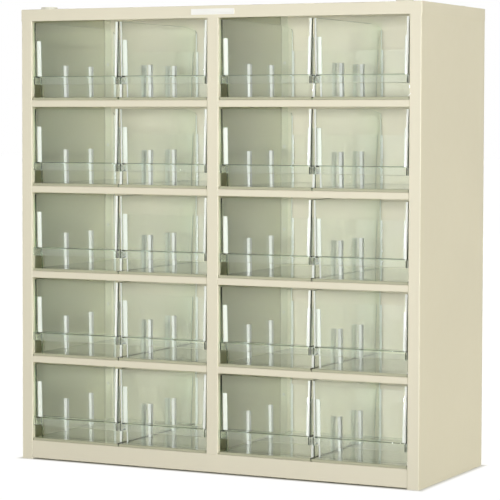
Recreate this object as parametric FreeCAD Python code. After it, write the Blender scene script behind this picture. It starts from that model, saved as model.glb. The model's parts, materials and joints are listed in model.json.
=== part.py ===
import FreeCAD, Part
import math
import os

V = FreeCAD.Vector

# A free-standing parts cabinet: a folded sheet-steel case with two columns of shelves, and two clear
# moulded drawers side by side in every opening. Millimetres, +Z up, the front faces -Y, and the origin
# is on the floor under the middle of the case.

# Case
WIDTH = 840.0                # over the skirt of the top cover
DEPTH = 325.0                # front face of the frame to the back panel
HEIGHT = 880.0               # floor to the flat of the top cover
SHEET = 1.0                  # thickness of all the steel sheet
BEND = 0.5                   # inside radius of the folds
ROWS = 5                     # openings in a column
DRAWERS_IN_OPENING = 2       # side by side

# Front frame
STILE = 24.0                 # face width of an outer stile
MULLION = 24.0               # face width of the centre stile
TOP_RAIL = 23.0              # height of the top cover's skirt, all round
SHELF_EDGE = 13.3            # face height of a shelf's front edge
BASE_TOP = 37.0              # floor to the surface that the lowest drawers run on
BASE_LIFT = 2.0              # air under the base rail and the back panel
STILE_RETURN = 10.0          # how far a stile folds back beside an opening
RAIL_RETURN = 8.0            # how far a rail folds back under itself
REAR_FLANGE = 15.0           # fold of an upright that carries the back panel
SHELF_FLANGE = 12.0          # fold of a shelf that is welded to the uprights
FOOT_FLANGE = 20.0           # fold of a side panel that stands on the floor

# Fasteners and fittings
RIVET_SHANK = 4.0            # diameter
RIVET_HEAD = 8.0             # diameter
RIVET_CROWN = 4.5            # diameter of the flat on top of the head
RIVET_HEAD_HEIGHT = 0.8      # outside the back panel
RIVET_TAIL = 6.0             # diameter of the set end inside
RIVET_TAIL_LENGTH = 1.5
RIVET_PLAY = 0.2             # hole larger than the shank, in diameter
STUD_DIAMETER = 32.0         # stacking stud on the top cover
STUD_HEIGHT = 5.0
STUD_ROUND = 1.5
STUD_STEM = 10.0             # diameter of the stem through the cover
STUD_STEM_LENGTH = 4.0
STUD_PLAY = 0.2              # hole larger than the stem, in diameter
STUD_FROM_SIDE = 46.0
STUD_FROM_FRONT = 30.0
PLATE_WIDTH = 90.0           # blank name plate on the top rail
PLATE_HEIGHT = 11.0
PLATE_THICK = 0.8
PLATE_ROUND = 1.0

# Room round a drawer
GAP_SIDE = 1.5               # rim to stile
GAP_BETWEEN = 3.0            # rim to the rim of the drawer beside it
GAP_ABOVE = 3.4
GAP_UNDER = 0.3
GAP_REAR = 1.0               # back of the drawer to the folds behind it
LIP_SETBACK = 1.0            # front of the lip behind the face of the frame

# Drawer
WALL = 2.5                   # moulded wall
FLOOR_TOP = 5.0              # surface that the contents lie on
SIDE_TAPER = 3.0             # each side leans in by this much from rim to bottom
BACK_TAPER = 6.0             # so does the back
CORNER = 6.0                 # outside radius of the upright corners
FACE_SETBACK = 2.0           # upper front wall behind the front of the lip
STEP_BACK = 20.0             # behind the lip the front wall steps back by this much
STEP_DRAFT = 1.0             # and by this much more at the bottom
BACK_WALL_TOP = 100.0        # the back wall is lower than the sides
SHOULDER_LENGTH = 50.0       # the side walls slope down towards the back corner
SHOULDER_DROP = 6.0
SHOULDER_CHAMFER = 8.0       # and end in a cut corner
BASE_SETBACK = 0.5           # the base that the tub stands on, behind the front of the lip
BASE_ROUND = 1.5             # edges of that base

# Lip that hangs in front of the step and is pulled from below
LIP_BOTTOM = 30.0
LIP_TOP = 46.0
LIP_THICK = 2.5
GUSSET_THICK = 2.0           # end of the lip

# Ribs inside a drawer
DIVIDER_FIRST = 115.0        # front of the lip to the middle of the first divider slot
DIVIDER_PITCH = 98.0
DIVIDER_SLOTS = 2
DIVIDER_SLOT = 3.5           # width of a slot
RIB_THICK = 2.5
RIB_TOP = 69.5
RIB_REACH_FOOT = 5.8         # how far a rib stands off the wall at the floor
RIB_REACH_TOP = 6.4          # and at its top
CARD_SPACE = 7.5             # between the upper front wall and the tall rib that stands on the step
CARD_RIB_TOP = 115.0
CARD_RIB_REACH = 8.5

# Worked out from the sizes above
FRONT = -DEPTH / 2
REAR = DEPTH / 2
WEB_OUTER = WIDTH / 2 - SHEET
WEB_INNER = WEB_OUTER - SHEET
REAR_FOLD = REAR - SHEET
RAIL_BOTTOM = HEIGHT - TOP_RAIL
OPENING_WIDTH = (WIDTH - 2 * STILE - MULLION) / 2
ROW_PITCH = (RAIL_BOTTOM - BASE_TOP + SHELF_EDGE) / ROWS
OPENING_HEIGHT = ROW_PITCH - SHELF_EDGE
DRAWER_STEP = (OPENING_WIDTH - 2 * GAP_SIDE + GAP_BETWEEN) / DRAWERS_IN_OPENING
DRAWER_WIDTH = DRAWER_STEP - GAP_BETWEEN
DRAWER_HEIGHT = OPENING_HEIGHT - GAP_ABOVE - GAP_UNDER
DRAWER_LENGTH = DEPTH - LIP_SETBACK - 2 * SHEET - GAP_REAR
LOWER_FACE = FACE_SETBACK + STEP_BACK
OVERCUT = 5.0                # how far a cutting tool reaches past what it cuts

# Left and right edges of the two columns of openings, and the webs that carry their shelves
COLUMNS = {
    "left": {"face": (-WIDTH / 2 + STILE, -MULLION / 2), "web": (-WEB_INNER, -MULLION / 2)},
    "right": {"face": (MULLION / 2, WIDTH / 2 - STILE), "web": (-MULLION / 2 + SHEET, WEB_INNER)},
}

# Where a section's two coordinates lie, and the direction that it is drawn out in
PLANES = {
    "XY": (lambda u, v, w: V(u, v, w), V(0, 0, 1)),
    "YZ": (lambda u, v, w: V(w, u, v), V(1, 0, 0)),
    "XZ": (lambda u, v, w: V(u, w, v), V(0, 1, 0)),
}


def row_floor(row):
    """Height of the surface that the drawers of a row run on; row 1 is the top row."""
    return BASE_TOP + (ROWS - row) * ROW_PITCH


def turn_at(before, corner, after):
    """Directions into and out of a corner, and the signed angle between them."""
    way_in = (corner - before).normalize()
    way_out = (after - corner).normalize()
    return way_in, way_out, math.atan2(way_in.cross(way_out).z, way_in.dot(way_out))


def shifted(path, distance):
    """An open path of (u, v) points moved to its left by a distance."""
    points = [V(u, v, 0) for u, v in path]
    ways = [(b - a).normalize() for a, b in zip(points, points[1:])]
    lefts = [V(-way.y, way.x, 0) for way in ways]
    lefts = [lefts[0]] + lefts + [lefts[-1]]
    moved = []
    for point, first, second in zip(points, lefts, lefts[1:]):
        place = point + (first + second) * (distance / (1 + first.dot(second)))
        moved.append((place.x, place.y))
    return moved


def drawn_out(corners, plane, start, end):
    """A prism over a closed outline of (u, v, radius) corners, rounded where the radius isn't zero."""
    to_space, direction = PLANES[plane]
    count = len(corners)
    flat = [V(u, v, 0) for u, v, radius in corners]
    spans = []
    for i in range(count):
        corner = flat[i]
        radius = corners[i][2]
        way_in, way_out, turn = turn_at(flat[i - 1], corner, flat[(i + 1) % count])
        if radius == 0:
            spans.append((corner, None, corner))
            continue
        reach = radius * math.tan(abs(turn) / 2)
        inward = (way_out - way_in).normalize()
        middle = corner + inward * (radius / math.cos(turn / 2) - radius)
        spans.append((corner - way_in * reach, middle, corner + way_out * reach))
    edges = []
    for i in range(count):
        first, middle, last = spans[i]
        if middle is not None:
            arc = [to_space(p.x, p.y, start) for p in (first, middle, last)]
            edges.append(Part.Arc(*arc).toShape())
        following = spans[(i + 1) % count][0]
        ends = [to_space(p.x, p.y, start) for p in (last, following)]
        edges.append(Part.LineSegment(*ends).toShape())
    face = Part.Face(Part.Wire(edges))
    return face.extrude(direction * (end - start))


def folded(path, plane, start, end):
    """A folded sheet: one face follows the path, and the thickness is on the path's left."""
    near = list(path)
    far = shifted(path, SHEET)
    corners = []
    for face, inside_turn in ((near, -1), (far, 1)):
        rounded = [(face[0][0], face[0][1], 0)]
        for i in range(1, len(face) - 1):
            turn = turn_at(*[V(u, v, 0) for u, v in near[i - 1:i + 2]])[2]
            radius = BEND if turn * inside_turn > 0 else BEND + SHEET
            rounded.append((face[i][0], face[i][1], radius))
        rounded.append((face[-1][0], face[-1][1], 0))
        corners += rounded if face is near else rounded[::-1]
    return drawn_out(corners, plane, start, end)


def block(x, y, z):
    """A box between two X values, two Y values and two Z values."""
    return Part.makeBox(x[1] - x[0], y[1] - y[0], z[1] - z[0], V(x[0], y[0], z[0]))


def joined(shapes):
    """One clean solid out of shapes that touch or overlap."""
    return shapes[0].multiFuse(shapes[1:]).removeSplitter()


def steep(edge):
    """True for an edge that runs more up and down than along."""
    box = edge.BoundBox
    return box.ZLength > max(box.XLength, box.YLength)


def rivet_places():
    """Centres (x, z) of the rivets that hold the back panel on the three uprights, one behind every row."""
    middle = REAR_FLANGE / 2
    across = (-WEB_OUTER + middle, -MULLION / 2 + middle, WEB_OUTER - middle)
    return [(x, row_floor(row) + OPENING_HEIGHT / 2) for x in across for row in range(1, ROWS + 1)]


def stud_places():
    """Centres (x, y) of the stacking studs, one near each corner of the top cover."""
    x = WIDTH / 2 - STUD_FROM_SIDE
    y = DEPTH / 2 - STUD_FROM_FRONT
    return [(sx * x, sy * y) for sx in (-1, 1) for sy in (-1, 1)]


def rivet_holes():
    """Tools that cut the rivet holes through the back panel and the folds in front of it."""
    radius = (RIVET_SHANK + RIVET_PLAY) / 2
    start = REAR_FOLD - SHEET - OVERCUT
    return [Part.makeCylinder(radius, REAR + OVERCUT - start, V(x, start, z), V(0, 1, 0))
            for x, z in rivet_places()]


def upright(web, face_end, bottom):
    """A folded upright: rear fold, web at X = web, front face to X = face_end and its return."""
    fold_end = web + REAR_FLANGE
    plan = [(fold_end, REAR_FOLD), (web, REAR_FOLD), (web, FRONT), (face_end, FRONT),
            (face_end, FRONT + STILE_RETURN)]
    lower = folded(plan, "XY", bottom, RAIL_BOTTOM)
    clear_of_rail = FRONT + max(RAIL_RETURN, STILE_RETURN) + SHEET
    tongue = folded([(fold_end, REAR_FOLD), (web, REAR_FOLD), (web, clear_of_rail)],
                    "XY", RAIL_BOTTOM, HEIGHT - SHEET - BEND)
    return joined([lower, tongue]).cut(rivet_holes())


def side_panel():
    """The left side of the case: an upright that stands on a fold along the floor."""
    foot = block((-WEB_OUTER, -WEB_OUTER + FOOT_FLANGE), (FRONT + SHEET, REAR_FOLD - SHEET), (0, SHEET))
    return joined([upright(-WEB_OUTER, -WIDTH / 2 + STILE, 0), foot])


def top_cover():
    """A pan turned upside down, with its front skirt folded back along the bottom."""
    skin = block((-WIDTH / 2, WIDTH / 2), (FRONT, REAR), (RAIL_BOTTOM, HEIGHT))
    soft = [e for e in skin.Edges if steep(e) or e.BoundBox.ZMin > HEIGHT - SHEET]
    skin = skin.makeFillet(BEND + SHEET, soft)
    room = block((-WEB_OUTER, WEB_OUTER), (FRONT + SHEET, REAR - SHEET),
                 (RAIL_BOTTOM + SHEET, HEIGHT - SHEET))
    soft = [e for e in room.Edges if steep(e) or e.BoundBox.ZMin > HEIGHT - 2 * SHEET]
    room = room.makeFillet(BEND, soft)
    mouth = block((-WEB_OUTER, WEB_OUTER), (FRONT + RAIL_RETURN, REAR - SHEET),
                  (RAIL_BOTTOM - OVERCUT, RAIL_BOTTOM + 2 * SHEET))
    stems = [Part.makeCylinder((STUD_STEM + STUD_PLAY) / 2, SHEET + 2 * OVERCUT,
                               V(x, y, HEIGHT - SHEET - OVERCUT)) for x, y in stud_places()]
    return skin.cut([room, mouth] + stems)


def tray(face, web, top, face_height):
    """A shelf or the base: a plate with a face in front and folds down at both sides and the rear."""
    low = top - face_height
    inner_rear = REAR_FOLD - SHEET - BEND
    front_fold = [(inner_rear, top), (FRONT, top), (FRONT, low), (FRONT + RAIL_RETURN, low)]
    rear_fold = [(REAR_FOLD, top - SHELF_FLANGE), (REAR_FOLD, top), (0, top)]
    side_folds = [(web[1], top - SHELF_FLANGE), (web[1], top), (web[0], top), (web[0], top - SHELF_FLANGE)]
    clear_of_uprights = REAR_FLANGE + SHEET
    return joined([
        folded(front_fold, "YZ", *face),
        folded(rear_fold, "YZ", web[0] + clear_of_uprights, web[1] - clear_of_uprights),
        folded(side_folds, "XZ", FRONT + STILE_RETURN, inner_rear),
    ])


def back_panel():
    """A flat sheet under the top cover's skirt, riveted to the folds of the uprights."""
    panel = block((-WEB_OUTER, WEB_OUTER), (REAR_FOLD, REAR), (BASE_LIFT, RAIL_BOTTOM))
    return panel.cut(rivet_holes())


def rivets():
    """Low-headed blind rivets, one solid each."""
    grip = 2 * SHEET
    inner = REAR - grip
    solids = []
    for x, z in rivet_places():
        shank = Part.makeCylinder(RIVET_SHANK / 2, grip, V(x, inner, z), V(0, 1, 0))
        tail = Part.makeCylinder(RIVET_TAIL / 2, RIVET_TAIL_LENGTH, V(x, inner, z), V(0, -1, 0))
        head = Part.makeCone(RIVET_HEAD / 2, RIVET_CROWN / 2, RIVET_HEAD_HEIGHT, V(x, REAR, z), V(0, 1, 0))
        solids.append(joined([shank, tail, head]))
    return Part.makeCompound(solids)


def stacking_studs():
    """Low round studs that locate a second cabinet on top, each with a stem through the cover."""
    solids = []
    for x, y in stud_places():
        head = Part.makeCylinder(STUD_DIAMETER / 2, STUD_HEIGHT, V(x, y, HEIGHT))
        rim = [e for e in head.Edges if e.BoundBox.ZMin > HEIGHT + STUD_HEIGHT / 2]
        head = head.makeFillet(STUD_ROUND, rim)
        stem = Part.makeCylinder(STUD_STEM / 2, STUD_STEM_LENGTH, V(x, y, HEIGHT), V(0, 0, -1))
        solids.append(joined([head, stem]))
    return Part.makeCompound(solids)


def name_plate():
    """A blank plate in the middle of the top rail."""
    middle = RAIL_BOTTOM + TOP_RAIL / 2
    plate = block((-PLATE_WIDTH / 2, PLATE_WIDTH / 2), (FRONT - PLATE_THICK, FRONT),
                  (middle - PLATE_HEIGHT / 2, middle + PLATE_HEIGHT / 2))
    corners = [e for e in plate.Edges if e.BoundBox.YLength > PLATE_THICK / 2]
    return plate.makeFillet(PLATE_ROUND, corners)


def tub_half(height, inset=0.0):
    """Half the width of the tapered tub at a height, with the wall's inset if it is asked for."""
    return DRAWER_WIDTH / 2 - SIDE_TAPER * (1 - height / DRAWER_HEIGHT) - inset


def tub_form(inset, low, high):
    """The tapered form of the tub, all its walls moved in by the inset, between two heights."""
    lean = BACK_TAPER / DRAWER_HEIGHT
    reach = DRAWER_HEIGHT + OVERCUT
    step = LIP_TOP - WALL
    side_view = [(FACE_SETBACK, reach), (FACE_SETBACK, step), (LOWER_FACE, step),
                 (LOWER_FACE + STEP_DRAFT, 0), (DRAWER_LENGTH - BACK_TAPER, 0),
                 (DRAWER_LENGTH + lean * OVERCUT, reach)]
    front_view = [(-tub_half(reach), reach), (-tub_half(0), 0), (tub_half(0), 0), (tub_half(reach), reach)]
    long_way = drawn_out([(u, v, 0) for u, v in shifted(side_view, inset)], "YZ", -DRAWER_WIDTH, DRAWER_WIDTH)
    across = drawn_out([(u, v, 0) for u, v in shifted(front_view, inset)], "XZ", 0, DRAWER_LENGTH + OVERCUT)
    form = long_way.common(across)
    form = form.makeFillet(CORNER - inset, [e for e in form.Edges if steep(e)])
    slab = block((-DRAWER_WIDTH, DRAWER_WIDTH), (-OVERCUT, DRAWER_LENGTH + OVERCUT), (low, high))
    return form.common(slab)


def drawer_base():
    """A shallow pan, as wide as the rim, that the tub stands on and that reaches forward under the lip."""
    half = DRAWER_WIDTH / 2
    pan = block((-half, half), (BASE_SETBACK, DRAWER_LENGTH), (0, FLOOR_TOP))
    pan = pan.makeFillet(BASE_ROUND, [e for e in pan.Edges if e.BoundBox.ZMax > FLOOR_TOP / 2])
    hollow = block((WALL - half, half - WALL), (BASE_SETBACK + WALL, DRAWER_LENGTH - WALL),
                   (-OVERCUT, FLOOR_TOP - WALL))
    return pan.cut(hollow)


def lip():
    """A band in front of the step, as wide as the rim, with a gusset behind each end."""
    half = DRAWER_WIDTH / 2
    outer = tub_half(LIP_BOTTOM)
    height = (LIP_BOTTOM, LIP_TOP)
    depth = (0, LOWER_FACE + WALL / 2)
    gussets = [block(x, depth, (LIP_BOTTOM, LIP_TOP - WALL / 2))
               for x in ((-outer, -outer + GUSSET_THICK), (outer - GUSSET_THICK, outer))]
    return joined([block((-half, half), (0, LIP_THICK), height)] + gussets)


def rib(side, start, foot, top, reach_foot, reach_top):
    """An upright rib on the left (-1) or right (1) wall of the tub, between two heights."""
    sunk = WALL / 2
    outline = [(tub_half(foot, sunk), foot - sunk), (tub_half(foot, WALL) - reach_foot, foot - sunk),
               (tub_half(top, WALL) - reach_top, top), (tub_half(top, sunk), top)]
    return drawn_out([(side * u, v, 0) for u, v in outline], "XZ", start, start + RIB_THICK)


def drawer_ribs():
    """Pairs of ribs for dividers, and a tall rib at each side that holds a card behind the front wall."""
    ribs = []
    for side in (-1, 1):
        ribs.append(rib(side, FACE_SETBACK + WALL + CARD_SPACE, LIP_TOP, CARD_RIB_TOP, CARD_RIB_REACH,
                        CARD_RIB_REACH))
        for i in range(DIVIDER_SLOTS):
            middle = DIVIDER_FIRST + i * DIVIDER_PITCH
            for start in (middle - DIVIDER_SLOT / 2 - RIB_THICK, middle + DIVIDER_SLOT / 2):
                ribs.append(rib(side, start, FLOOR_TOP, RIB_TOP, RIB_REACH_FOOT, RIB_REACH_TOP))
    return ribs


def drawer():
    """A drawer, with the front of its lip at Y = 0 and its base on Z = 0."""
    shell = tub_form(0.0, 0.0, DRAWER_HEIGHT)
    inside = tub_form(WALL, FLOOR_TOP, DRAWER_HEIGHT + OVERCUT)
    under = block((-DRAWER_WIDTH, DRAWER_WIDTH), (0, DRAWER_LENGTH), (-OVERCUT, FLOOR_TOP - WALL))
    past = DRAWER_LENGTH + OVERCUT
    above = DRAWER_HEIGHT + OVERCUT
    gap = [(-1, BACK_WALL_TOP), (1, BACK_WALL_TOP), (1, above), (-1, above)]
    low_back = drawn_out([(side * tub_half(z, WALL), z, 0) for side, z in gap],
                         "XZ", DRAWER_LENGTH - SHOULDER_LENGTH, past)
    slope = DRAWER_LENGTH - SHOULDER_LENGTH
    shoulder = DRAWER_HEIGHT - SHOULDER_DROP
    notch = [(slope, DRAWER_HEIGHT), (DRAWER_LENGTH - SHOULDER_CHAMFER, shoulder),
             (DRAWER_LENGTH, shoulder - SHOULDER_CHAMFER), (past, shoulder - SHOULDER_CHAMFER),
             (past, above), (slope, above)]
    shoulders = drawn_out([(y, z, 0) for y, z in notch], "YZ", -DRAWER_WIDTH, DRAWER_WIDTH)
    tub = shell.cut([inside, under, low_back, shoulders])
    return joined([tub, drawer_base(), lip()] + drawer_ribs())


def drawer_left_edges():
    """X of the left edge of each drawer in a row, from the left."""
    return [column["face"][0] + GAP_SIDE + i * DRAWER_STEP
            for column in COLUMNS.values() for i in range(DRAWERS_IN_OPENING)]


def build():
    """All the pieces by name, in place."""
    left = side_panel()
    pieces = {
        "left_side_panel": left,
        "right_side_panel": left.mirror(V(0, 0, 0), V(1, 0, 0)),
        "centre_partition": upright(-MULLION / 2, MULLION / 2, BASE_TOP),
        "top_cover": top_cover(),
        "base_tray": tray((-WIDTH / 2 + STILE, WIDTH / 2 - STILE), (-WEB_INNER, WEB_INNER),
                          BASE_TOP, BASE_TOP - BASE_LIFT),
        "back_panel": back_panel(),
        "back_panel_rivets": rivets(),
        "stacking_studs": stacking_studs(),
        "name_plate": name_plate(),
    }
    for side, column in COLUMNS.items():
        for row in range(1, ROWS):
            pieces[f"shelf_{side}_{row}"] = tray(column["face"], column["web"], row_floor(row), SHELF_EDGE)
    pattern = drawer()
    for row in range(1, ROWS + 1):
        for place, left in enumerate(drawer_left_edges(), start=1):
            piece = pattern.copy()
            piece.translate(V(left + DRAWER_WIDTH / 2, FRONT + LIP_SETBACK, row_floor(row) + GAP_UNDER))
            pieces[f"drawer_{row}_{place}"] = piece
    return pieces


os.makedirs("parts", exist_ok=True)
for name, shape in build().items():
    shape.exportStep(f"parts/{name}.step")
    state = "valid" if shape.isValid() else "BROKEN"
    print(name, state, len(shape.Solids), round(shape.Volume / 1000, 2), "cm3")
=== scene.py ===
import json
import math

import bmesh
import bpy
from mathutils import Matrix, Vector


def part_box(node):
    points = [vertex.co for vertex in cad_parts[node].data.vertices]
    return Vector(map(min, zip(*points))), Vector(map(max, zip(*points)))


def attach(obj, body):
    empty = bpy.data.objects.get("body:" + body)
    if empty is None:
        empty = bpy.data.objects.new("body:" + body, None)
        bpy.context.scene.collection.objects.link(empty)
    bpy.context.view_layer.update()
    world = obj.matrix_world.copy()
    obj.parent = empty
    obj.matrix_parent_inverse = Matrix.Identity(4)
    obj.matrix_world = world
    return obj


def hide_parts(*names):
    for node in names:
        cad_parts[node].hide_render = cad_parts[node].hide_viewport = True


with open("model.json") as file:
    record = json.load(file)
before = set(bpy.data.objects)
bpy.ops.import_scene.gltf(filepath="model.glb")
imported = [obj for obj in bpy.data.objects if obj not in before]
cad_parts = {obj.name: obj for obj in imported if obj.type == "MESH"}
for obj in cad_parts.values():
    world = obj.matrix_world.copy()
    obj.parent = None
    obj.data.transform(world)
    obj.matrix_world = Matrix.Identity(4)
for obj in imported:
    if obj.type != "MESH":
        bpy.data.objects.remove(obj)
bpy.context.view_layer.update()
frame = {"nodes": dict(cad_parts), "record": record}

nodes = frame["nodes"]

# Camera, from the outer edges and the shelf edges of the cabinet in the photograph (metres, radians)
CAMERA_PLACE = Vector((1.8828, -3.8306, 0.6684))
CAMERA_YAW = 0.45707
CAMERA_PITCH = 0.04821
CAMERA_ROLL = 0.00263
CAMERA_SHIFT = -0.05
SENSOR = 36.0
FOCAL_PIXELS = 2199.7
IMAGE_PIXELS = 500.0

# Colours, linear
IVORY = (0.785, 0.742, 0.603)
IVORY_INSIDE_SHADE = (0.785, 0.785, 0.600)    # painted shade: greener ivory on the inner faces of the uprights, for the green-tinted shade inside the case
IVORY_REAR_SHADE = (0.66, 0.65, 0.51)         # painted shade: darker ivory on their rear folds, for the shade at the rear of the case
STYRENE = (1.0, 1.0, 1.0)
STYRENE_SHADE = (0.993, 0.993, 0.993)   # what each face of the clear plastic lets through of a lamp's light
STYRENE_DEPTH = (0.86, 0.975, 0.88)     # tint of the light that goes through its thickness
STYRENE_PAINTED_HIGHLIGHT = (0.93, 0.95, 0.92)      # painted highlight: opaque pale plastic on the ribs and on stripes along round corners, for the light that the clear plastic gathers there
STYRENE_PAINTED_SHADE = (0.47, 0.465, 0.33)      # painted shade: opaque grey-olive on the clear front edge of a drawer's base, for the darker band seen along it
STUD_GREY = (0.68, 0.67, 0.57)
PLATE_WHITE = (0.92, 0.92, 0.90)
ALUMINIUM = (0.74, 0.74, 0.72)

# Finishes: fineness, detail and range of tone and roughness; for relief its strength and depth in metres
BAKED_ENAMEL = {"metallic": 0.0, "tone": (5.0, 3.0, 0.985, 1.012), "roughness": (60.0, 4.0, 0.36, 0.46),
                "relief": (700.0, 2.0, 0.06, 0.0003)}
SATIN_PLASTIC = {"metallic": 0.0, "tone": (1500.0, 2.0, 0.95, 1.03), "roughness": (900.0, 2.0, 0.42, 0.55),
                 "relief": (1500.0, 2.0, 0.15, 0.0002)}
DRAWN_ALUMINIUM = {"metallic": 1.0, "tone": (400.0, 4.0, 0.85, 1.0), "roughness": (600.0, 3.0, 0.28, 0.45),
                   "relief": (800.0, 3.0, 0.1, 0.0001)}
STYRENE_ROUGHNESS = (30.0, 3.0, 0.0, 0.03)
STYRENE_IOR = 1.58
STYRENE_DENSITY = 45.0
NOISE_MIDDLE = (0.3, 0.7)    # middle of a noise's range, which is stretched to the whole of a variation

# Drawer, as it is in the solids (metres)
RIM_HALF = 0.0945            # half the width at the rim
SIDE_LEAN = 0.0030           # each side leans in by this much from rim to bottom
RIM_HEIGHT = 0.14966
WALL = 0.0025
RIB_ROOM = 0.010             # no rib stands further off the wall
RIB_PROUD = 0.001            # and none of its faces has its middle nearer to the wall
RIB_STRETCHES = ((0.0115, 0.015), (0.1102, 0.1198), (0.2082, 0.2178))
LIP_LEVELS = (0.030, 0.046)
BASE_EDGE = (0.0035, 0.0055)    # how far back and up the front edge of the base reaches
BASE_EDGE_TURN = -0.15          # its faces look forward more than this
FRONT_CORNERS = 0.030           # the upright corners of the front lie before this
REAR_CORNERS = 0.290            # and those of the rear behind this

# Rounds on a drawer's edges (metres, degrees)
EDGE_ROUND = 0.0004
EDGE_ROUND_STEPS = 2
EDGE_ANGLE = 30.0            # an edge that is sharper than this has a round
LIP_ROUND = 0.0010           # upper and lower front edge of the lip
LIP_ROUND_STEPS = 4
FLAT_AREA = 0.00045          # a face of this size or more is part of a flat wall, not of a round
FLAT_ANGLE = 0.7             # faces that meet at less than this are one flat face
# Corners too tight for a round: behind the lip, and at the rear; width is counted from the middle
TIGHT_CORNERS = (((0.084, 0.0015, 0.036), (0.1, 0.031, 0.050)),
                 ((0.084, 0.309, 0.0), (0.1, 0.33, 0.15)))

# Painted highlight stripes on round corners: sideways part of their normals, left and right, and the most
# they lean
CORNER_TURNS = {-1.0: (0.10, 0.95), 1.0: (0.25, 0.82)}
CORNER_LEAN = 0.3
# Front corners with a painted highlight stripe: a drawer beside a stile's return has a clear left corner
HIGHLIGHT_CORNERS = {"left drawer": (1.0,), "right drawer": (-1.0, 1.0)}

# What lies inside the case, where the uprights get painted shade: nearer to the middle and further back than
# this (metres)
INSIDE_HALF = 0.4185
INSIDE_FRONT = -0.1515
REAR_FOLD = 0.155
UPRIGHTS = ("left_side_panel", "right_side_panel", "centre_partition")

# Rivets of the back panel, studs on the top and the name plate, as they are in the solids (metres)
RIVET_COLUMNS = (-0.4115, -0.0045, 0.4115)
RIVET_LOWEST = 0.11368
RIVET_PITCH = 0.16666
RIVET_ROWS = 5
RIVET_SIDES = 24
BACK_FACE = 0.1625
STUD_CORNER = (0.374, 0.1325)
STUD_SIDES = 64
TOP_FACE = 0.880
PLATE_CORNER = 0.001
PLATE_CORNER_STEPS = 4
PLATE_RIM = 0.0009
PLATE_SINK = 0.00025

# Half outlines of a rivet and of a stud: radius and height over the sheet, in millimetres
RIVET_OUTLINE = ((0, -3.5), (2.6, -3.5), (3.0, -3.2), (3.0, -2.0), (2.0, -2.0), (2.0, 0.0), (4.0, 0.0),
                 (4.0, 0.12), (3.75, 0.40), (3.1, 0.65), (2.2, 0.79), (1.35, 0.80), (1.15, 0.70),
                 (1.05, 0.20), (0, 0.15))
STUD_OUTLINE = ((0, -4.0), (4.6, -4.0), (5.0, -3.6), (5.0, 0.0), (16.0, 0.0), (16.0, 3.5), (15.8, 4.2),
                (15.3, 4.75), (14.5, 5.0), (12.6, 5.0), (12.1, 4.8), (11.6, 4.6), (0, 4.6))
MILLIMETRE = 0.001

# Meshes (metres, degrees)
DRAWER_MERGE = 0.00001       # points nearer to each other than this are one
TURNED_MERGE = 0.000001
SHARP_ANGLE = 35.0           # an edge that is sharper than this is shaded as sharp

# Light
AMBIENT = 0.06
GLOSS_WORLD = 0.4
WHITE_LIGHT = (1.0, 1.0, 1.0)
WARM_LIGHT = (1.0, 0.985, 0.92)
LAMPS = {
    "front_softbox": {"place": (0.62, -4.2, 0.72), "aim": (0.0, 0.0, 0.86), "size": (1.0, 0.5),
                      "spread": 110.0, "power": 47.5, "tint": WHITE_LIGHT, "gloss": True},
    "right_softbox": {"place": (7.0, -0.66, 1.2), "aim": (0.4, -0.16, 0.5), "size": (0.5, 2.4),
                      "spread": 180.0, "power": 300.0, "tint": WARM_LIGHT, "gloss": False},
    "left_softbox": {"place": (-7.0, 0.6, 1.4), "aim": (-0.4, 0.0, 0.5), "size": (3.0, 2.4),
                     "spread": 180.0, "power": 230.0, "tint": WARM_LIGHT, "gloss": False},
    "top_softbox": {"place": (0.0, 0.8, 4.5), "aim": (0.0, 0.2, 0.88), "size": (2.0, 2.0),
                    "spread": 180.0, "power": 80.0, "tint": WHITE_LIGHT, "gloss": True},
    "rear_softbox": {"place": (-1.5, 8.0, 1.3), "aim": (0.0, 0.2, 0.5), "size": (3.0, 2.4),
                     "spread": 180.0, "power": 380.0, "tint": WHITE_LIGHT, "gloss": False},
}
BOUNCES = 24

# Floor (metres)
FLOOR_HALF = 30.0
FLOOR_PAPER = (0.40, 0.38, 0.26)
FLOOR_ROUGHNESS = 0.9
FLOOR_GLOW = (1.22, 1.26)    # near the object, where its shadow falls, and far off
FLOOR_GLOW_REACH = (0.7, 2.2)
FLOOR_GLOW_SHARE = 0.8
FOOTPRINT = (0.42, 0.1625)   # half the width and depth of the case; painted shade: the floor's glow is taken away under it and just round it, so the floor is dark there
FOOTPRINT_EDGE = (-0.006, 0.012)


def socket_value(node, name, value):
    """Sets an input of a node, with an opaque alpha added to a plain colour."""
    node.inputs[name].default_value = (*value, 1.0) if isinstance(value, tuple) else value


def fresh_material(name):
    """A new material with an output and a Principled shader, and what is needed to add nodes to it."""
    material = bpy.data.materials.new(name)
    material.use_nodes = True
    tree = material.node_tree
    tree.nodes.clear()
    output = tree.nodes.new("ShaderNodeOutputMaterial")
    shader = tree.nodes.new("ShaderNodeBsdfPrincipled")
    tree.links.new(shader.outputs["BSDF"], output.inputs["Surface"])
    return material, tree, shader, output


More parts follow.
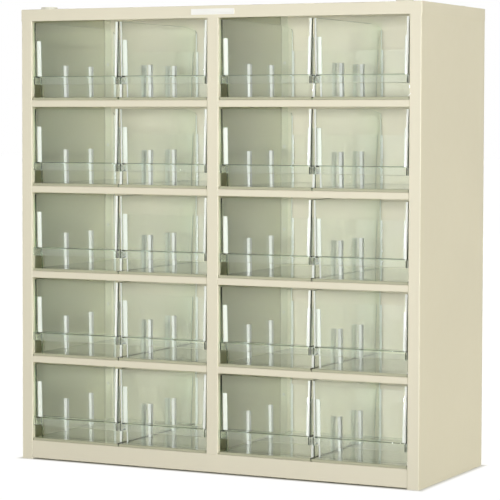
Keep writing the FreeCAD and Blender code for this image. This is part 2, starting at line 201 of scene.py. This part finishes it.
def variation_group():
    """A group that varies a value over a surface, between a low and a high one, in patches of a size."""
    group = bpy.data.node_groups.new("surface_variation", "ShaderNodeTree")
    for name, usual in (("Scale", 10.0), ("Detail", 2.0), ("Low", 0.0), ("High", 1.0)):
        group.interface.new_socket(name, in_out="INPUT", socket_type="NodeSocketFloat").default_value = usual
    group.interface.new_socket("Value", in_out="OUTPUT", socket_type="NodeSocketFloat")
    entry = group.nodes.new("NodeGroupInput")
    leave = group.nodes.new("NodeGroupOutput")
    place = group.nodes.new("ShaderNodeTexCoord")
    texture = group.nodes.new("ShaderNodeTexNoise")
    mapped = group.nodes.new("ShaderNodeMapRange")
    socket_value(mapped, "From Min", NOISE_MIDDLE[0])
    socket_value(mapped, "From Max", NOISE_MIDDLE[1])
    group.links.new(place.outputs["Object"], texture.inputs["Vector"])
    group.links.new(entry.outputs["Scale"], texture.inputs["Scale"])
    group.links.new(entry.outputs["Detail"], texture.inputs["Detail"])
    group.links.new(texture.outputs["Fac"], mapped.inputs["Value"])
    group.links.new(entry.outputs["Low"], mapped.inputs["To Min"])
    group.links.new(entry.outputs["High"], mapped.inputs["To Max"])
    group.links.new(mapped.outputs["Result"], leave.inputs["Value"])
    return group


def varied(tree, fineness, detail, low=0.0, high=1.0):
    """A value that varies over the surface in a material."""
    node = tree.nodes.new("ShaderNodeGroup")
    node.node_tree = surface_variation
    for name, value in (("Scale", fineness), ("Detail", detail), ("Low", low), ("High", high)):
        socket_value(node, name, value)
    return node.outputs["Value"]


def worked_out(tree, operation, *terms):
    """The result of a step of arithmetic on other nodes' values and on plain numbers."""
    node = tree.nodes.new("ShaderNodeMath")
    node.operation = operation
    for place, term in zip(node.inputs, terms):
        if isinstance(term, float):
            place.default_value = term
        else:
            tree.links.new(term, place)
    return node.outputs["Value"]


def largest(tree, first, *others):
    """The largest of some values."""
    for other in others:
        first = worked_out(tree, "MAXIMUM", first, other)
    return first


def tone(tree, value, first, second):
    """A colour between two, chosen by a value."""
    mix = tree.nodes.new("ShaderNodeMix")
    mix.data_type = "RGBA"
    socket_value(mix, "A", first)
    socket_value(mix, "B", second)
    tree.links.new(value, mix.inputs["Factor"])
    return mix.outputs["Result"]


def scaled(colour, factor):
    """A colour made lighter or darker."""
    return tuple(channel * factor for channel in colour)


def axes_of(tree):
    """A node that gives the X, Y and Z of a place on the piece."""
    place = tree.nodes.new("ShaderNodeTexCoord")
    axes = tree.nodes.new("ShaderNodeSeparateXYZ")
    tree.links.new(place.outputs["Object"], axes.inputs["Vector"])
    return axes


def painted_inside_shade(tree, outside):
    """A colour for the uprights: the enamel on the outside, and painted shade inside the case, greener on
    the inner faces and darker on the rear folds.
    """
    axes = axes_of(tree)
    across = worked_out(tree, "ABSOLUTE", axes.outputs["X"])
    between = worked_out(tree, "LESS_THAN", across, INSIDE_HALF)
    behind = worked_out(tree, "GREATER_THAN", axes.outputs["Y"], INSIDE_FRONT)
    at_rear = worked_out(tree, "GREATER_THAN", axes.outputs["Y"], REAR_FOLD)
    inside_shading = tree.nodes.new("ShaderNodeMix")
    inside_shading.data_type = "RGBA"
    tree.links.new(worked_out(tree, "MULTIPLY", between, behind), inside_shading.inputs["Factor"])
    tree.links.new(outside, inside_shading.inputs["A"])
    tree.links.new(tone(tree, at_rear, IVORY_INSIDE_SHADE, IVORY_REAR_SHADE), inside_shading.inputs["B"])
    return inside_shading.outputs["Result"]


def bump(tree, shader, height, strength, depth):
    """Lets a height change the shader's normal."""
    node = tree.nodes.new("ShaderNodeBump")
    socket_value(node, "Strength", strength)
    socket_value(node, "Distance", depth)
    tree.links.new(height, node.inputs["Height"])
    tree.links.new(node.outputs["Normal"], shader.inputs["Normal"])


def finished(name, colour, finish, with_inside_shade=False):
    """An opaque material: a mottled colour, an uneven gloss and a fine relief; when asked, painted shade
    inside the case for the uprights.
    """
    material, tree, shader, _ = fresh_material(name)
    socket_value(shader, "Metallic", finish["metallic"])
    fineness, detail, darker, lighter = finish["tone"]
    mottle = tone(tree, varied(tree, fineness, detail), scaled(colour, darker), scaled(colour, lighter))
    # painted shade inside the case, for the uprights
    if with_inside_shade:
        mottle = painted_inside_shade(tree, mottle)
    tree.links.new(mottle, shader.inputs["Base Color"])
    tree.links.new(varied(tree, *finish["roughness"]), shader.inputs["Roughness"])
    fineness, detail, strength, depth = finish["relief"]
    bump(tree, shader, varied(tree, fineness, detail), strength, depth)
    return material


def clear_styrene(name):
    """Clear moulded plastic. Light from the lamps goes straight through it to what lies behind."""
    material, tree, shader, output = fresh_material(name)
    socket_value(shader, "Base Color", STYRENE)
    socket_value(shader, "IOR", STYRENE_IOR)
    socket_value(shader, "Transmission Weight", 1.0)
    tree.links.new(varied(tree, *STYRENE_ROUGHNESS), shader.inputs["Roughness"])
    path = tree.nodes.new("ShaderNodeLightPath")
    clear = tree.nodes.new("ShaderNodeBsdfTransparent")
    socket_value(clear, "Color", STYRENE_SHADE)
    mix = tree.nodes.new("ShaderNodeMixShader")
    straight = largest(tree, path.outputs["Is Shadow Ray"], path.outputs["Is Diffuse Ray"])
    tree.links.new(straight, mix.inputs["Fac"])
    tree.links.new(shader.outputs["BSDF"], mix.inputs[1])
    tree.links.new(clear.outputs["BSDF"], mix.inputs[2])
    tree.links.new(mix.outputs["Shader"], output.inputs["Surface"])
    depth = tree.nodes.new("ShaderNodeVolumeAbsorption")
    socket_value(depth, "Color", STYRENE_DEPTH)
    socket_value(depth, "Density", STYRENE_DENSITY)
    tree.links.new(depth.outputs["Volume"], output.inputs["Volume"])
    return material


def paint(piece, material):
    """Gives a piece this material and no other."""
    piece.data.materials.clear()
    piece.data.materials.append(material)


def is_rib_face(face):
    """True for a face of the ribs that stand off the side walls of a drawer, in the drawer's own place;
    these get a painted highlight.
    """
    middle = face.calc_center_median()
    wall = RIM_HALF - SIDE_LEAN * (1 - middle.z / RIM_HEIGHT) - WALL
    off_wall = wall - abs(middle.x)
    along = any(start < middle.y < end for start, end in RIB_STRETCHES)
    return along and RIB_PROUD < off_wall < RIB_ROOM


def is_corner_face(face, highlight_corners):
    """True for a face on the painted highlight stripe along an upright outer corner, where the clear plastic
    gathers the light.
    """
    middle = face.calc_center_median()
    side = math.copysign(1.0, middle.x)
    least, most = CORNER_TURNS[side]
    front = face.normal.y < 0 and middle.y < FRONT_CORNERS and side in highlight_corners
    rear = face.normal.y > 0 and middle.y > REAR_CORNERS
    return (front or rear) and least < face.normal.x * side < most and abs(face.normal.z) < CORNER_LEAN


def is_base_edge(face):
    """True for a face on the front edge of the base, which gets painted shade."""
    middle = face.calc_center_median()
    return middle.y < BASE_EDGE[0] and middle.z < BASE_EDGE[1] and face.normal.y < BASE_EDGE_TURN


def plastic_index(face, highlight_corners):
    """Which of a drawer's plastics a face shows: clear, a painted highlight on ribs and corner stripes, or
    painted shade on the front edge of the base.
    """
    if is_base_edge(face):
        return 2
    return 1 if is_rib_face(face) or is_corner_face(face, highlight_corners) else 0


def in_tight_corner(point):
    """True for a point of a drawer in one of its tight corners, left or right."""
    place = Vector((abs(point.x), point.y, point.z))
    return any(all(low[i] < place[i] < high[i] for i in range(3)) for low, high in TIGHT_CORNERS)


def takes_round(edge):
    """True for an outward edge of a drawer that a mould leaves with a fine round."""
    tight = any(in_tight_corner(vert.co) for vert in edge.verts)
    return edge.is_convex and edge.calc_face_angle() > math.radians(EDGE_ANGLE) and not tight


def on_lip(edge):
    """True for the upper and the lower front edge of a drawer's lip."""
    return any(all(abs(vert.co.z - level) < EDGE_ROUND and vert.co.y < EDGE_ROUND for vert in edge.verts)
               for level in LIP_LEVELS) and edge.is_convex


def drawer_place(node):
    """The middle of a drawer's front edge, at its foot."""
    low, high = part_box(node)
    return Vector(((low.x + high.x) / 2, low.y, low.z))


def drawer_pattern(highlight_corners):
    """One moulded drawer with fine rounds on its edges, the middle of its front edge at the origin."""
    shape = bmesh.new()
    shape.from_mesh(nodes["drawer_1_1"].data)
    bmesh.ops.translate(shape, vec=-drawer_place("drawer_1_1"), verts=shape.verts)
    bmesh.ops.remove_doubles(shape, verts=shape.verts, dist=DRAWER_MERGE)
    bmesh.ops.dissolve_degenerate(shape, dist=DRAWER_MERGE, edges=shape.edges)
    bmesh.ops.dissolve_limit(shape, angle_limit=math.radians(FLAT_ANGLE), use_dissolve_boundaries=False,
                             verts=shape.verts, edges=shape.edges)
    rounds = ((on_lip, LIP_ROUND, LIP_ROUND_STEPS), (takes_round, EDGE_ROUND, EDGE_ROUND_STEPS))
    for is_chosen, size, steps in rounds:
        chosen = [edge for edge in shape.edges if is_chosen(edge)]
        bmesh.ops.bevel(shape, geom=chosen, offset=size, segments=steps, offset_type="OFFSET", profile=0.5,
                        affect="EDGES", clamp_overlap=False, material=-1)
    shape.normal_update()
    for face in shape.faces:
        face.material_index = plastic_index(face, highlight_corners)
    mesh = bpy.data.meshes.new("drawer_pattern")
    shape.to_mesh(mesh)
    shape.free()
    mesh.set_sharp_from_angle(angle=math.radians(SHARP_ANGLE))
    for polygon in mesh.polygons:
        polygon.use_smooth = polygon.area < FLAT_AREA
    return mesh


def clear_drawers(clear, white, dull):
    """The moulded drawers, which stand for the plain solids, with a painted highlight on ribs and corner
    stripes and painted shade on the front edge of the base.
    """
    patterns = {which: drawer_pattern(corners) for which, corners in HIGHLIGHT_CORNERS.items()}
    for name in nodes:
        if name.startswith("drawer_"):
            which = "left drawer" if name.endswith(("1", "3")) else "right drawer"
            mesh = patterns[which].copy()
            mesh.transform(Matrix.Translation(drawer_place(name)))
            stand_in(f"moulded_{name}", mesh, name, name, clear)
            mesh.materials.append(white)
            mesh.materials.append(dull)


def turned(outline, sides):
    """A round solid that stands on Z, from its half outline."""
    shape = bmesh.new()
    line = [shape.verts.new((radius * MILLIMETRE, 0.0, height * MILLIMETRE)) for radius, height in outline]
    edges = [shape.edges.new(pair) for pair in zip(line, line[1:])]
    bmesh.ops.spin(shape, geom=line + edges, cent=(0, 0, 0), axis=(0, 0, 1), angle=math.tau, steps=sides,
                   use_merge=True)
    bmesh.ops.remove_doubles(shape, verts=shape.verts, dist=TURNED_MERGE)
    bmesh.ops.recalc_face_normals(shape, faces=shape.faces)
    for face in shape.faces:
        face.smooth = True
    mesh = bpy.data.meshes.new("turned")
    shape.to_mesh(mesh)
    shape.free()
    return mesh


def repeated(name, pattern, placements):
    """One mesh with a copy of a pattern at every placement."""
    shape = bmesh.new()
    for placement in placements:
        copy = pattern.copy()
        copy.transform(placement)
        shape.from_mesh(copy)
        bpy.data.meshes.remove(copy)
    mesh = bpy.data.meshes.new(name)
    shape.to_mesh(mesh)
    shape.free()
    mesh.set_sharp_from_angle(angle=math.radians(SHARP_ANGLE))
    return mesh


def stand_in(name, mesh, node, body, material):
    """Shows a mesh in the place of a node."""
    piece = bpy.data.objects.new(name, mesh)
    bpy.context.scene.collection.objects.link(piece)
    mesh.materials.append(material)
    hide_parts(node)
    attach(piece, body)


def rivets(material):
    """Blind rivets with a domed head and the hole that the pulled pin leaves."""
    to_rear = Matrix.Rotation(-math.pi / 2, 4, "X")
    places = [Matrix.Translation((x, BACK_FACE, RIVET_LOWEST + row * RIVET_PITCH)) @ to_rear
              for x in RIVET_COLUMNS for row in range(RIVET_ROWS)]
    mesh = repeated("blind_rivets", turned(RIVET_OUTLINE, RIVET_SIDES), places)
    stand_in("blind_rivets", mesh, "back_panel_rivets", "case", material)


def studs(material):
    """Stacking studs with a rounded rim and a shallow dish."""
    x, y = STUD_CORNER
    places = [Matrix.Translation((side * x, end * y, TOP_FACE)) for side in (-1, 1) for end in (-1, 1)]
    mesh = repeated("dished_studs", turned(STUD_OUTLINE, STUD_SIDES), places)
    stand_in("dished_studs", mesh, "stacking_studs", "case", material)


def plate(material):
    """The blank name plate, pressed so that a narrow rim stands round its field."""
    low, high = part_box("name_plate")
    shape = bmesh.new()
    bmesh.ops.create_cube(shape, size=1.0)
    bmesh.ops.scale(shape, vec=high - low, verts=shape.verts)
    bmesh.ops.translate(shape, vec=(low + high) / 2, verts=shape.verts)
    half_thick = (high.y - low.y) / 2
    corners = [edge for edge in shape.edges
               if abs(edge.verts[0].co.y - edge.verts[1].co.y) > half_thick]
    bmesh.ops.bevel(shape, geom=corners, offset=PLATE_CORNER, segments=PLATE_CORNER_STEPS,
                    offset_type="OFFSET", profile=0.5, affect="EDGES", clamp_overlap=True, material=-1)
    front = [min(shape.faces, key=lambda face: face.normal.y)]
    bmesh.ops.inset_region(shape, faces=front, thickness=PLATE_RIM, depth=0.0, use_even_offset=True)
    bmesh.ops.inset_region(shape, faces=front, thickness=PLATE_SINK, depth=-PLATE_SINK, use_even_offset=True)
    mesh = bpy.data.meshes.new("pressed_plate")
    shape.to_mesh(mesh)
    shape.free()
    stand_in("pressed_plate", mesh, "name_plate", "case", material)


def seen_from(tree):
    """How white the surroundings look to a ray: fully to eyes and through glass, less in gloss, else not."""
    path = tree.nodes.new("ShaderNodeLightPath")
    gloss = worked_out(tree, "MULTIPLY", path.outputs["Is Glossy Ray"], GLOSS_WORLD)
    return largest(tree, path.outputs["Is Camera Ray"], path.outputs["Is Transmission Ray"], gloss)


def white_room():
    """Even light from all round. Eyes, gloss and glass see it as a white backdrop."""
    world = bpy.data.worlds.new("white_room")
    bpy.context.scene.world = world
    world.use_nodes = True
    tree = world.node_tree
    background = tree.nodes["Background"]
    level = tree.nodes.new("ShaderNodeMapRange")
    socket_value(level, "To Min", AMBIENT)
    socket_value(level, "To Max", 1.0)
    tree.links.new(seen_from(tree), level.inputs["Value"])
    tree.links.new(level.outputs["Result"], background.inputs["Strength"])
    socket_value(background, "Color", WHITE_LIGHT)


def outside_footprint(tree):
    """From 0 under the case to 1 just outside it, at a place on the floor: a mask for the painted shade
    round the case.
    """
    axes = axes_of(tree)
    past = [worked_out(tree, "SUBTRACT", worked_out(tree, "ABSOLUTE", axes.outputs[axis]), half)
            for axis, half in zip("XY", FOOTPRINT)]
    edge = tree.nodes.new("ShaderNodeMapRange")
    socket_value(edge, "From Min", FOOTPRINT_EDGE[0])
    socket_value(edge, "From Max", FOOTPRINT_EDGE[1])
    tree.links.new(largest(tree, *past), edge.inputs["Value"])
    return edge.outputs["Result"]


def floor_glow(tree):
    """How brightly the floor shines, by the distance from the object."""
    place = tree.nodes.new("ShaderNodeTexCoord")
    far = tree.nodes.new("ShaderNodeVectorMath")
    far.operation = "LENGTH"
    fade = tree.nodes.new("ShaderNodeMapRange")
    for name, value in zip(("From Min", "From Max", "To Min", "To Max"), FLOOR_GLOW_REACH + FLOOR_GLOW):
        socket_value(fade, name, value)
    tree.links.new(place.outputs["Object"], far.inputs[0])
    tree.links.new(far.outputs["Value"], fade.inputs["Value"])
    return fade.outputs["Result"]


def floor_paper():
    """Pale paper that eyes, gloss and glass see as white, with the object's shadow on it."""
    material, tree, shader, output = fresh_material("floor_paper")
    socket_value(shader, "Base Color", FLOOR_PAPER)
    socket_value(shader, "Roughness", FLOOR_ROUGHNESS)
    socket_value(shader, "Specular IOR Level", 0.0)
    glow = tree.nodes.new("ShaderNodeEmission")
    tree.links.new(floor_glow(tree), glow.inputs["Strength"])
    share = worked_out(tree, "MULTIPLY", seen_from(tree), FLOOR_GLOW_SHARE)
    mix = tree.nodes.new("ShaderNodeMixShader")
    # the diffuse part keeps the real shadow; the glow is taken away under the case and just round it, a
    # painted shade
    tree.links.new(worked_out(tree, "MULTIPLY", share, outside_footprint(tree)), mix.inputs["Fac"])
    tree.links.new(shader.outputs["BSDF"], mix.inputs[1])
    tree.links.new(glow.outputs["Emission"], mix.inputs[2])
    tree.links.new(mix.outputs["Shader"], output.inputs["Surface"])
    return material


def floor():
    """A floor that stays white round the object and keeps a soft shadow under it."""
    shape = bmesh.new()
    bmesh.ops.create_grid(shape, x_segments=1, y_segments=1, size=FLOOR_HALF)
    mesh = bpy.data.meshes.new("floor")
    shape.to_mesh(mesh)
    shape.free()
    plane = bpy.data.objects.new("floor", mesh)
    bpy.context.scene.collection.objects.link(plane)
    paint(plane, floor_paper())


def lamps():
    """Large soft boxes, which aren't seen themselves."""
    for name, lamp in LAMPS.items():
        light = bpy.data.lights.new(name, "AREA")
        light.shape = "RECTANGLE"
        light.size, light.size_y = lamp["size"]
        light.spread = math.radians(lamp["spread"])
        light.energy = lamp["power"]
        light.color = lamp["tint"]
        holder = bpy.data.objects.new(name, light)
        holder.location = lamp["place"]
        holder.rotation_euler = (Vector(lamp["aim"]) - holder.location).to_track_quat("-Z", "Y").to_euler()
        holder.visible_camera = False
        holder.visible_glossy = lamp["gloss"]
        bpy.context.scene.collection.objects.link(holder)


def camera():
    """The photograph's viewpoint."""
    forward = Vector((-math.sin(CAMERA_YAW) * math.cos(CAMERA_PITCH),
                      math.cos(CAMERA_YAW) * math.cos(CAMERA_PITCH), -math.sin(CAMERA_PITCH)))
    level = Vector((math.cos(CAMERA_YAW), math.sin(CAMERA_YAW), 0.0))
    upward = level.cross(forward)
    right = level * math.cos(CAMERA_ROLL) + upward * math.sin(CAMERA_ROLL)
    up = upward * math.cos(CAMERA_ROLL) - level * math.sin(CAMERA_ROLL)
    lens = bpy.data.cameras.new("camera")
    lens.sensor_width = SENSOR
    lens.lens = FOCAL_PIXELS / IMAGE_PIXELS * SENSOR
    lens.shift_y = CAMERA_SHIFT
    holder = bpy.data.objects.new("camera", lens)
    aim = Matrix((right, up, -forward)).transposed()
    holder.matrix_world = Matrix.Translation(CAMERA_PLACE) @ aim.to_4x4()
    bpy.context.scene.collection.objects.link(holder)
    bpy.context.scene.camera = holder


surface_variation = variation_group()
materials = {
    "ivory_paint": finished("ivory_paint", IVORY, BAKED_ENAMEL),
    "clear_plastic": clear_styrene("clear_plastic"),
    "stud_plastic": finished("stud_plastic", STUD_GREY, SATIN_PLASTIC),
    "plate_white": finished("plate_white", PLATE_WHITE, BAKED_ENAMEL),
    "rivet_aluminium": finished("rivet_aluminium", ALUMINIUM, DRAWN_ALUMINIUM),
}
# painted shade: the uprights are greener inside the case and darker on their rear folds
uprights_paint = finished("uprights_paint", IVORY, BAKED_ENAMEL, with_inside_shade=True)
for subpart in frame["record"]["subparts"]:
    name = subpart["node"]
    paint(nodes[name], uprights_paint if name in UPRIGHTS else materials[subpart["material_slot"]])
# painted highlight on the ribs and corner stripes, painted shade on the front edge of each drawer's base
clear_drawers(materials["clear_plastic"], finished("painted_highlight_plastic", STYRENE_PAINTED_HIGHLIGHT, SATIN_PLASTIC),
              finished("painted_shade_plastic", STYRENE_PAINTED_SHADE, SATIN_PLASTIC))
rivets(materials["rivet_aluminium"])
studs(materials["stud_plastic"])
plate(materials["plate_white"])

white_room()
floor()
lamps()
camera()
bpy.context.scene.view_settings.view_transform = "Standard"
cycles = bpy.context.scene.cycles
cycles.max_bounces = BOUNCES
cycles.transmission_bounces = BOUNCES
cycles.transparent_max_bounces = BOUNCES
